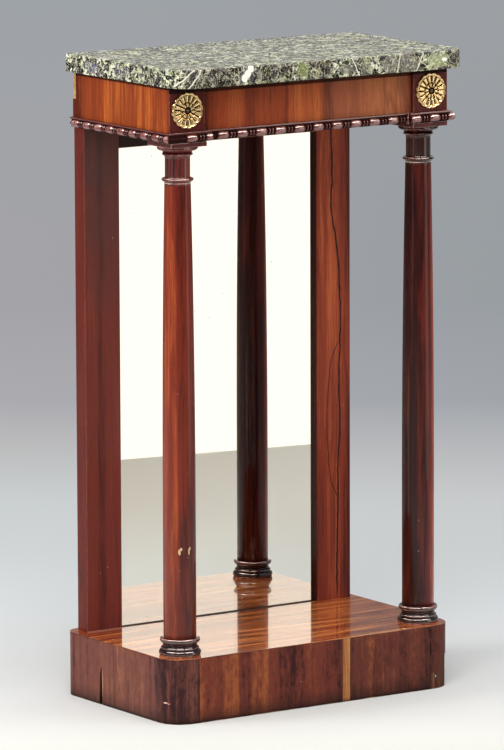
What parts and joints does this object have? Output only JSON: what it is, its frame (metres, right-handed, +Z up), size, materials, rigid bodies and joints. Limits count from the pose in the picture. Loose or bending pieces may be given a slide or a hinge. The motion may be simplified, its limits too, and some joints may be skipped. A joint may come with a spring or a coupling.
{
  "type": "pier table",
  "caption": "Narrow pier table with a stone slab on a veneered frieze, turned front columns, flat rear pilasters with a mirror between them, and a rounded plinth.",
  "frame": {"origin": "on the floor, under the middle of the whole table's bounding box", "axes": "+X to the table's right seen from the front, -Y to the front (room side), +Y to the wall, +Z up"},
  "size_m": [0.481, 0.301, 0.9],
  "materials": {
    "rosewood": "french polish",
    "dark_rosewood": "satin",
    "pine": "aged, unpolished",
    "pale_filler": "satin",
    "verde_marble": "polished",
    "gilt_brass": "lacquered",
    "steel_pin": "dull",
    "mirror_silver": "silvered"
  },
  "bodies": {
    "frame": {"bead_moulding_block_left": "rosewood", "bead_moulding_block_right": "rosewood", "bead_moulding_front": "rosewood", "bead_moulding_returns": "rosewood", "bead_moulding_side_left": "rosewood", "bead_moulding_side_right": "rosewood", "block_face_veneer_left": "rosewood", "block_face_veneer_right": "rosewood", "block_return_veneers": "rosewood", "column_abacus_left": "rosewood", "column_abacus_right": "rosewood", "column_base_left": "rosewood", "column_base_right": "rosewood", "column_capital_left": "rosewood", "column_capital_right": "rosewood", "column_shaft_left": "rosewood", "column_shaft_right": "rosewood", "frieze_back_rail": "pine", "frieze_corner_block_left": "pine", "frieze_corner_block_right": "pine", "frieze_front_rail": "pine", "frieze_glue_blocks": "pine", "frieze_panel_veneer_centre": "rosewood", "frieze_panel_veneer_left": "rosewood", "frieze_panel_veneer_right": "rosewood", "frieze_side_rail_left": "pine", "frieze_side_rail_right": "pine", "frieze_side_veneer_left": "rosewood", "frieze_side_veneer_right": "rosewood", "frieze_soffit_board": "pine", "mirror_back_fillet_left": "pine", "mirror_back_fillet_right": "pine", "mirror_backboard_left": "pine", "mirror_backboard_right": "pine", "mirror_bottom_slip": "dark_rosewood", "mirror_glass": "mirror_silver", "mirror_top_rail": "dark_rosewood", "pilaster_left": "rosewood", "pilaster_right": "rosewood", "pilaster_veneer_left": "rosewood", "pilaster_veneer_right": "rosewood", "plinth_back_board": "pine", "plinth_filler_strip": "pale_filler", "plinth_front_board": "pine", "plinth_glue_blocks": "pine", "plinth_post_back_left": "pine", "plinth_post_back_right": "pine", "plinth_post_front_left": "pine", "plinth_post_front_right": "pine", "plinth_side_board_left": "pine", "plinth_side_board_right": "pine", "plinth_top_board": "pine", "plinth_top_veneer": "rosewood", "plinth_veneer_front": "rosewood", "plinth_veneer_left": "rosewood", "plinth_veneer_right": "rosewood", "rosette_left": "gilt_brass", "rosette_pins": "steel_pin", "rosette_right": "gilt_brass"},
    "slab": {"marble_top": "verde_marble"}
  },
  "joints": [
    {"name": "marble_lift", "type": "slide", "parent": "frame", "child": "slab", "axis": [0, 0, 1], "range_m": [0, 0.1]}
  ]
}
